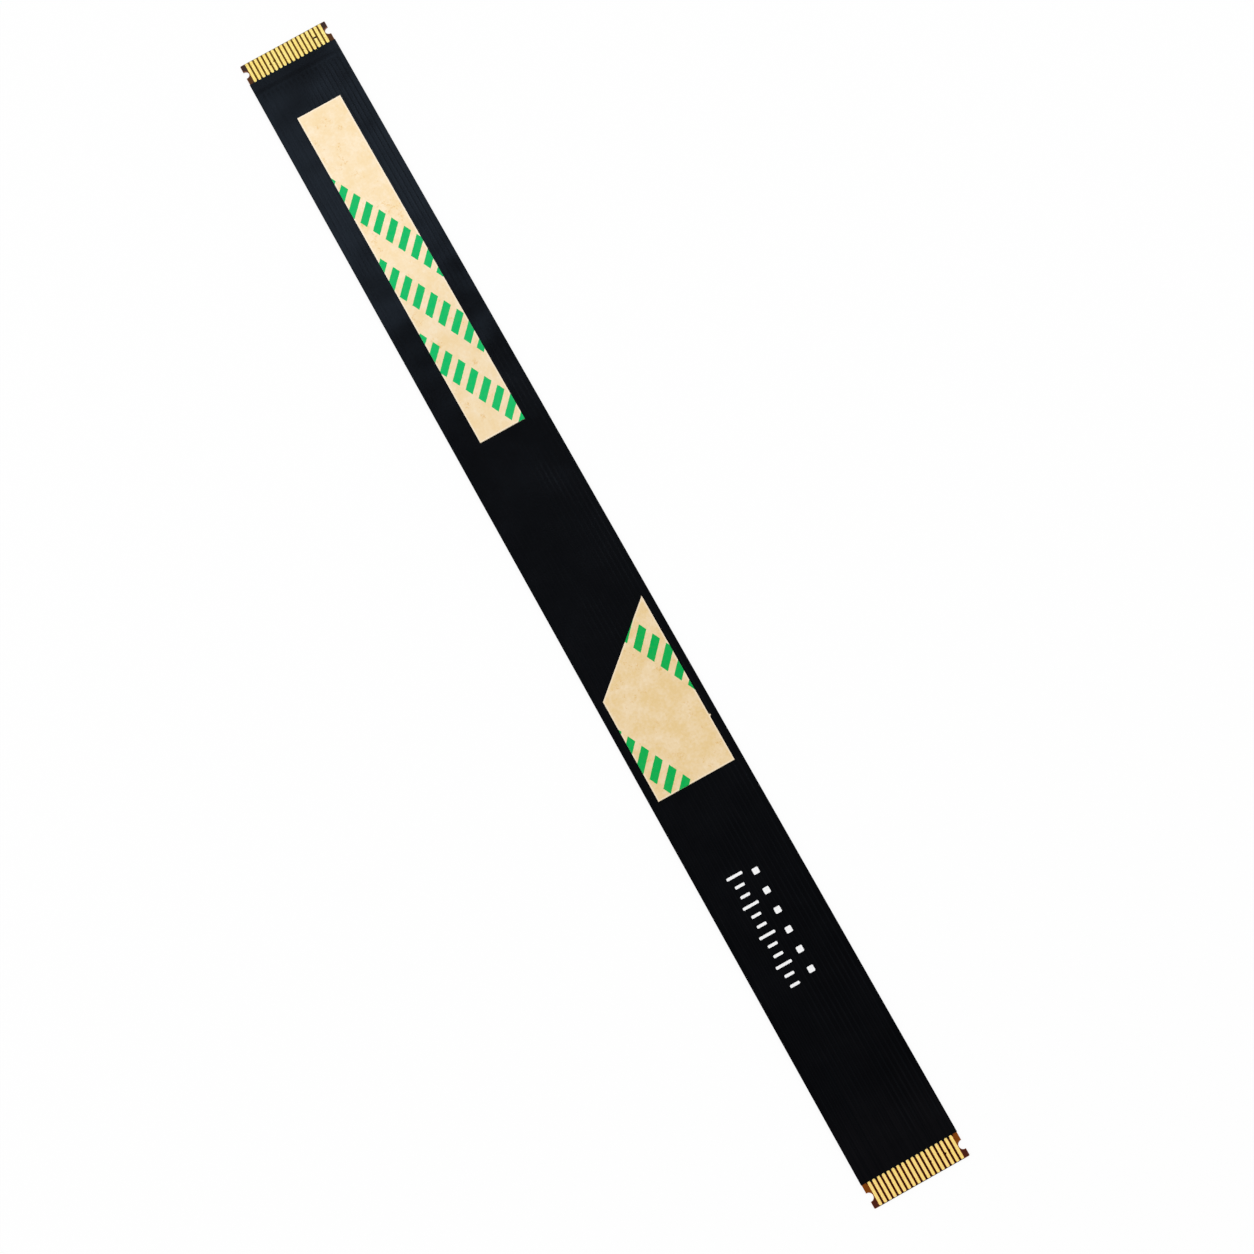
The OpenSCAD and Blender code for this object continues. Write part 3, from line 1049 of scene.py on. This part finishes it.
def long_liner_outline(sizes):
    """A rectangle, turned a little, in the middle of the long liner's place."""
    middle = (LONG_LINER_LOW + LONG_LINER_HIGH) / 2
    turn = Matrix.Rotation(sizes.long_liner_skew, 2)
    half_l, half_w = sizes.long_liner / 2, sizes.long_liner_width / 2
    corners = [(-half_l, -half_w), (half_l, -half_w), (half_l, half_w), (-half_l, half_w)]
    return [tuple(turn @ Vector(corner) + middle.xy) for corner in corners]


def short_liner_outline(sizes):
    """A right trapezoid whose point lies on the -Y side, towards the far end."""
    low, high = SHORT_LINER_LOW, SHORT_LINER_HIGH
    slanted_x = high.x - sizes.short_liner_slant
    return [(low.x, low.y), (high.x, low.y), (slanted_x, high.y), (low.x, high.y)]


def add_mark(solid, sizes, x, y, size_x, size_y):
    """Adds one printed mark with round corners, which follows the raised lines of the cover film."""
    corner = min(MARK_CORNER, size_x / 2, size_y / 2)
    ends = rounding(corner, MARK_ANGLES)
    inner = size_y - 2 * corner
    steps = max(1, round(inner / MARK_STEP))
    columns = ends + [corner + inner * i / steps for i in range(1, steps)]
    columns += [size_y - distance for distance in ends[::-1]]
    rows = []
    for side in (-1, 1):
        row = []
        for from_start in columns:
            lost = max(0.0, corner - min(from_start, size_y - from_start))
            half = size_x / 2 - corner + math.sqrt(corner**2 - lost**2)
            here = (x + side * half, y - size_y / 2 + from_start)
            height = cover_height(sizes, *here)
            row.append(((*here, height - INK_SEAT), (*here, height + sizes.ink)))
        rows.append(row)
    add_sheet(solid, rows)


def camera_matrix(stage):
    """Place and turn of the camera, from its aim, distance, tilt, turn and roll."""
    level = math.sin(stage.tilt)
    back = Vector((-level * math.cos(stage.turn), level * math.sin(stage.turn), math.cos(stage.tilt)))
    along = Vector((1, 0, 0))
    up = (along - back * along.dot(back)).normalized()
    right = up.cross(back)
    turned = Matrix((right, up, back)).transposed().to_4x4() @ Matrix.Rotation(stage.roll, 4, "Z")
    return Matrix.Translation(Vector(stage.aim) + back * stage.distance) @ turned


def add_lamp(name, power, place, size, target):
    """A soft rectangular lamp that faces a point."""
    lamp = bpy.data.lights.new(name, "AREA")
    lamp.shape = "RECTANGLE"
    lamp.size, lamp.size_y = size
    lamp.energy = power
    obj = bpy.data.objects.new(name, lamp)
    obj.location = place
    obj.rotation_euler = (Vector(target) - Vector(place)).to_track_quat("-Z", "Y").to_euler()
    bpy.context.scene.collection.objects.link(obj)
    return lamp


def add_camera(scene, stage):
    """The camera that matches the picture."""
    camera = bpy.data.objects.new("camera", bpy.data.cameras.new("camera"))
    camera.data.sensor_fit = "HORIZONTAL"
    camera.data.sensor_width = SENSOR_WIDTH
    camera.data.lens = stage.focal
    camera.data.clip_start = NEAREST_SEEN
    camera.matrix_world = camera_matrix(stage)
    scene.collection.objects.link(camera)
    scene.camera = camera


def add_surroundings(scene):
    """A plain world that is bright by the horizon and dark overhead."""
    world = bpy.data.worlds.new("studio")
    world.use_nodes = True
    tree = world.node_tree
    direction = add_node(tree, "ShaderNodeTexCoord", {}).outputs["Generated"]
    ramp = add_node(tree, "ShaderNodeValToRGB", {0: split(tree, direction)["Z"]})
    stops = ramp.color_ramp.elements
    while len(stops) < len(SURROUNDINGS):
        stops.new(0.5)
    for stop, (place, level) in zip(stops, SURROUNDINGS):
        stop.position = place
        stop.color = (level, level, level, 1.0)
    set_inputs(tree, tree.nodes["Background"], {"Color": ramp.outputs[0]})
    scene.world = world


def add_floor(scene, stage):
    """A wide round floor just under the cable."""
    disc = bmesh.new()
    bmesh.ops.create_circle(disc, cap_ends=True, radius=FLOOR_RADIUS, segments=FLOOR_SIDES)
    mesh = bpy.data.meshes.new("floor")
    disc.to_mesh(mesh)
    disc.free()
    mesh.materials.append(floor_material(stage))
    floor = bpy.data.objects.new("floor", mesh)
    floor.location.z = CAD_BOX[0].z - stage.floor_gap
    scene.collection.objects.link(floor)


class CABLE_OT_stage(bpy.types.Operator):
    """Add the camera, the lamps, the world and the floor"""

    bl_idname = "cable.stage"
    bl_label = "Stage"

    def execute(self, context):
        scene = context.scene
        stage = scene.cable_stage
        add_camera(scene, stage)
        far = add_lamp("far_lamp", stage.far_power, FAR_LAMP_PLACE, FAR_LAMP_SIZE, FAR_LAMP_TARGET)
        far.color = stage.far_colour
        x, y, z = SIDE_LAMP_PLACE
        for side in (-1, 1):
            place = (x, side * y, z)
            add_lamp(f"side_lamp_{side}", stage.side_power, place, SIDE_LAMP_SIZE, SIDE_LAMP_TARGET)
        add_surroundings(scene)
        scene.view_settings.view_transform = "Standard"
        add_floor(scene, stage)
        return {"FINISHED"}


class CABLE_OT_base_film(bpy.types.Operator):
    """Add the amber base film that carries every other layer"""

    bl_idname = "cable.base_film"
    bl_label = "Base film"

    def execute(self, context):
        sizes = context.scene.cable_sizes
        solid = cut_film(strip_outline(sizes), STRIP_LOW.z, STRIP_HIGH.z, sizes)
        material = film_material(context.scene.cable_colours)
        add_piece("carrier_film", solid, material, "base_film", "base_film")
        return {"FINISHED"}


class CABLE_OT_stiffeners(bpy.types.Operator):
    """Add the stiffener under each tongue"""

    bl_idname = "cable.stiffeners"
    bl_label = "Stiffeners"

    def execute(self, context):
        sizes = context.scene.cable_sizes
        material = stiffener_material(context.scene.cable_colours)
        for end, name in ((1, "far"), (-1, "near")):
            outline = tongue_outline(sizes, end, STIFFENER_LOW.x)
            solid = cut_film(outline, STIFFENER_LOW.z, STIFFENER_HIGH.z, sizes)
            add_piece(f"tongue_stiffener_{name}", solid, material, "stiffener", f"stiffener_{name}")
        return {"FINISHED"}


class CABLE_OT_conductors(bpy.types.Operator):
    """Add the gold-plated conductors"""

    bl_idname = "cable.conductors"
    bl_label = "Conductors"

    def execute(self, context):
        sizes = context.scene.cable_sizes
        material = gold_material(context.scene.cable_colours)
        for number, node in enumerate(CONDUCTORS, start=1):
            solid = conductor_solid(sizes, number)
            add_piece(f"gold_{node}", solid, material, "contact_gold", node)
        return {"FINISHED"}


class CABLE_OT_covers(bpy.types.Operator):
    """Add the top cover film with its raised lines, and finish the bottom cover film"""

    bl_idname = "cable.covers"
    bl_label = "Cover films"

    def execute(self, context):
        scene = context.scene
        material = cover_material(scene.cable_colours)
        add_piece("cover_film", cover_solid(scene.cable_sizes), material, "cover_film", "top_coverlay")
        dress_node("bottom_coverlay", material)
        return {"FINISHED"}


class CABLE_OT_liners(bpy.types.Operator):
    """Add the two paper liners, and finish the adhesive pads under them"""

    bl_idname = "cable.liners"
    bl_label = "Liners"

    def execute(self, context):
        sizes = context.scene.cable_sizes
        colours = context.scene.cable_colours
        adhesive = adhesive_material(colours)
        liners = [
            ("long", long_liner_outline(sizes), LONG_ROWS),
            ("short", short_liner_outline(sizes), SHORT_ROWS),
        ]
        for name, outline, rows in liners:
            solid = liner_solid(outline, LONG_LINER_LOW.z, LONG_LINER_HIGH.z, sizes)
            parts = [f"{name}_{part}" for part in ("paper", "stain", "print")]
            # The short liner's paper and stain colours carry painted shade.
            paper, stain, green = (getattr(colours, part) for part in parts)
            material = paper_material(f"liner_paper_{name}", colours, paper, stain, green, rows)
            add_piece(f"paper_liner_{name}", solid, material, "liner_paper", f"liner_{name}")
            dress_node(f"adhesive_{name}", adhesive)
        return {"FINISHED"}


class CABLE_OT_marks(bpy.types.Operator):
    """Add the white printed ticks and squares on the cover film"""

    bl_idname = "cable.marks"
    bl_label = "Printed marks"

    def execute(self, context):
        sizes = context.scene.cable_sizes
        solid = bmesh.new()
        for i in range(TICKS):
            height = sizes.mark_height * (SHORT_TICK_SHARE if i % LONG_TICK_EVERY else 1.0)
            x = sizes.mark_place - i * sizes.mark_pitch
            add_mark(solid, sizes, x, sizes.mark_row, sizes.mark_stroke, height)
        for i in range(SQUARES):
            x = sizes.mark_place - (FIRST_SQUARE + SQUARE_PITCH * i) * sizes.mark_pitch
            add_mark(solid, sizes, x, sizes.square_row, sizes.square_side, sizes.square_side)
        add_piece("printed_marks", solid, ink_material(context.scene.cable_colours), "cover_film")
        return {"FINISHED"}


class CABLE_OT_lay(bpy.types.Operator):
    bl_idname = "cable.lay"
    bl_label = "Lay the cable"

    def execute(self, context):
        return {"FINISHED"}


class CABLE_PT_sidebar(bpy.types.Panel):
    """The cable's sizes and colours, and the steps that build it"""

    bl_idname = "CABLE_PT_sidebar"
    bl_label = "Touchpad cable"
    bl_space_type = "VIEW_3D"
    bl_region_type = "UI"
    bl_category = "Cable"

    def draw(self, context):
        for operator in OPERATORS:
            self.layout.operator(operator.bl_idname)
        for group in SETTINGS:
            box = self.layout.box()
            settings = getattr(context.scene, group)
            for name in settings.__annotations__:
                box.prop(settings, name)


OPERATORS = (
    CABLE_OT_stage,
    CABLE_OT_base_film,
    CABLE_OT_stiffeners,
    CABLE_OT_conductors,
    CABLE_OT_covers,
    CABLE_OT_liners,
    CABLE_OT_marks,
    CABLE_OT_lay,
)
SETTINGS = {
    "cable_sizes": CABLE_PG_sizes,
    "cable_colours": CABLE_PG_colours,
    "cable_stage": CABLE_PG_stage,
}
CLASSES = (*SETTINGS.values(), *OPERATORS, CABLE_PT_sidebar)


def register():
    """Registers the classes, and the settings on the scene."""
    for cls in CLASSES:
        bpy.utils.register_class(cls)
    for name, cls in SETTINGS.items():
        setattr(bpy.types.Scene, name, bpy.props.PointerProperty(type=cls))


def unregister():
    """Takes the settings and the classes away again."""
    for name in SETTINGS:
        delattr(bpy.types.Scene, name)
    for cls in reversed(CLASSES):
        bpy.utils.unregister_class(cls)


def main():
    """Builds the cable on its stage."""
    register()
    bpy.ops.cable.stage()
    bpy.ops.cable.base_film()
    bpy.ops.cable.stiffeners()
    bpy.ops.cable.conductors()
    bpy.ops.cable.covers()
    bpy.ops.cable.liners()
    bpy.ops.cable.marks()
    bpy.ops.cable.lay()


if __name__ == "__main__":
    main()
